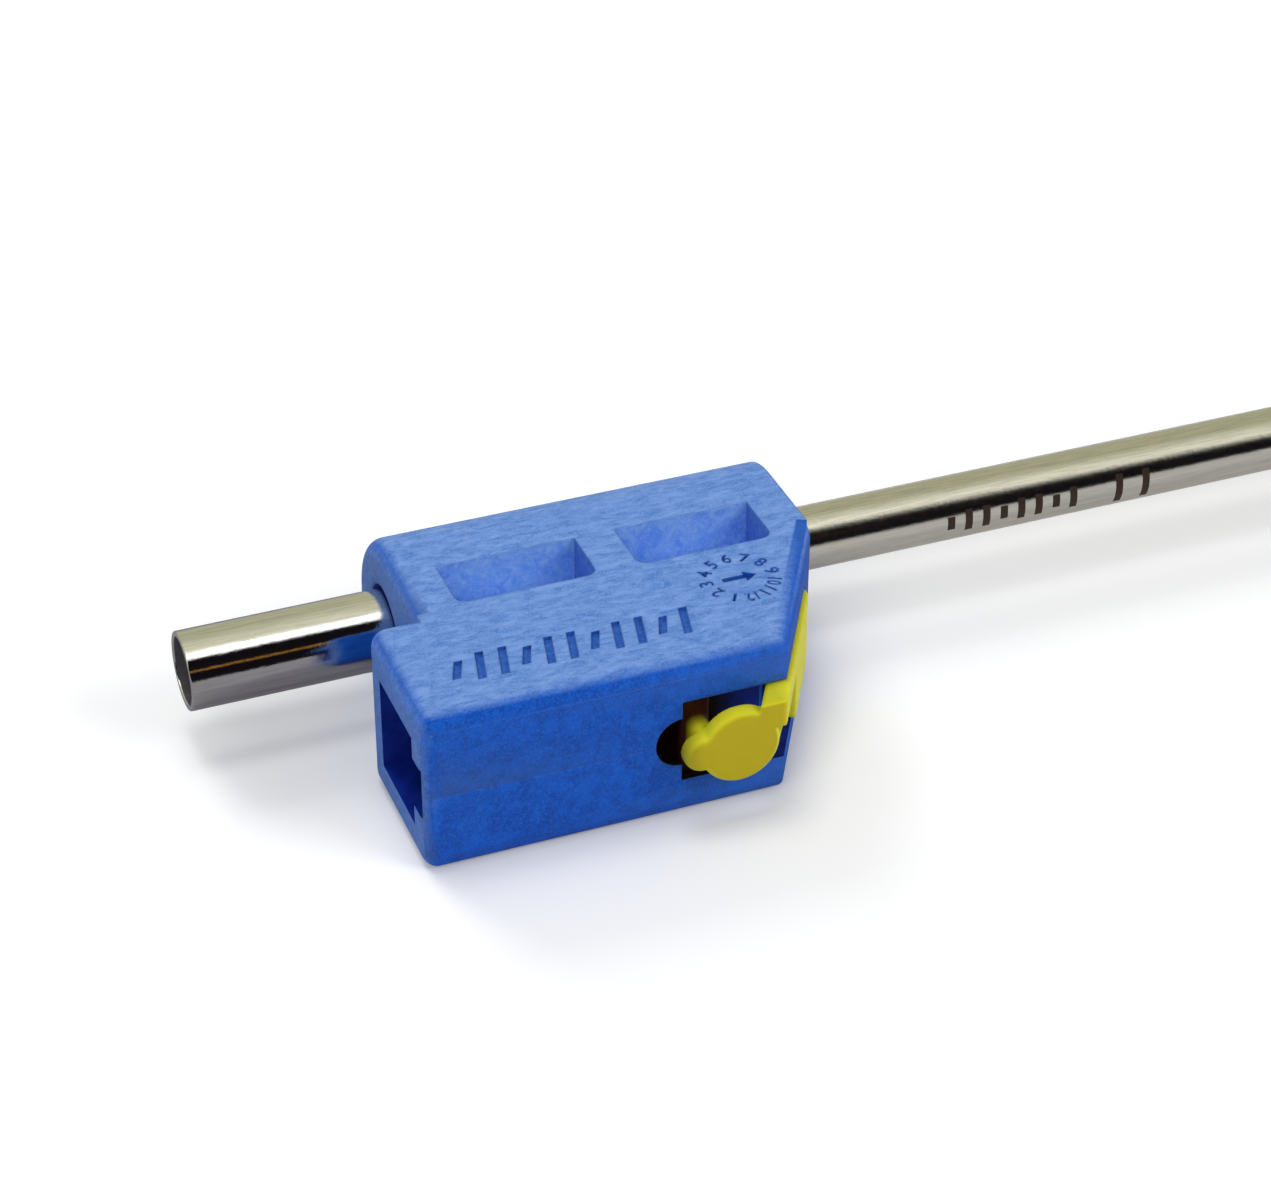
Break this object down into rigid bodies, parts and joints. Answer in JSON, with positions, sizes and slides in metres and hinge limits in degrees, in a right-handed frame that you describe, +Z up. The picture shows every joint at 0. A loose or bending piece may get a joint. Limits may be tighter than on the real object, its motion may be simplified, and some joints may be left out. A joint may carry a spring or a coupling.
{
  "type": "liposuction cannula",
  "caption": "Slim steel suction cannula with rounded side-port tip, blue two-shell clip-on hub, rear suction stub and yellow thumb latch.",
  "frame": {"origin": "on the tube axis, where the suction sleeve enters the hub's rear face", "axes": "+X along the cannula to its tip, +Y away from the side with the socket and thumb pad, +Z up, square to the joint line of the two shells"},
  "size_m": [0.257, 0.0238, 0.0106],
  "materials": {
    "hub_plastic": "matte, chalky mottled blue moulding",
    "latch_plastic": "satin yellow moulding",
    "sleeve_steel": "polished stainless",
    "cannula_steel": "satin polished stainless"
  },
  "bodies": {
    "hub": {"hub_upper_shell": "hub_plastic", "hub_lower_shell": "hub_plastic", "suction_sleeve": "sleeve_steel", "cannula_tube": "cannula_steel", "cannula_tip": "cannula_steel", "anchor_collar": "cannula_steel", "latch_root": "latch_plastic"},
    "latch": {"release_latch": "latch_plastic"}
  },
  "joints": [
    {"name": "latch_press", "type": "hinge", "parent": "hub", "child": "latch", "pos_m": [0.02266, -0.0089, 0], "axis": [0, 0, -1], "range_deg": [0, 4], "stiffness_Nm_per_rad": 0.02}
  ]
}
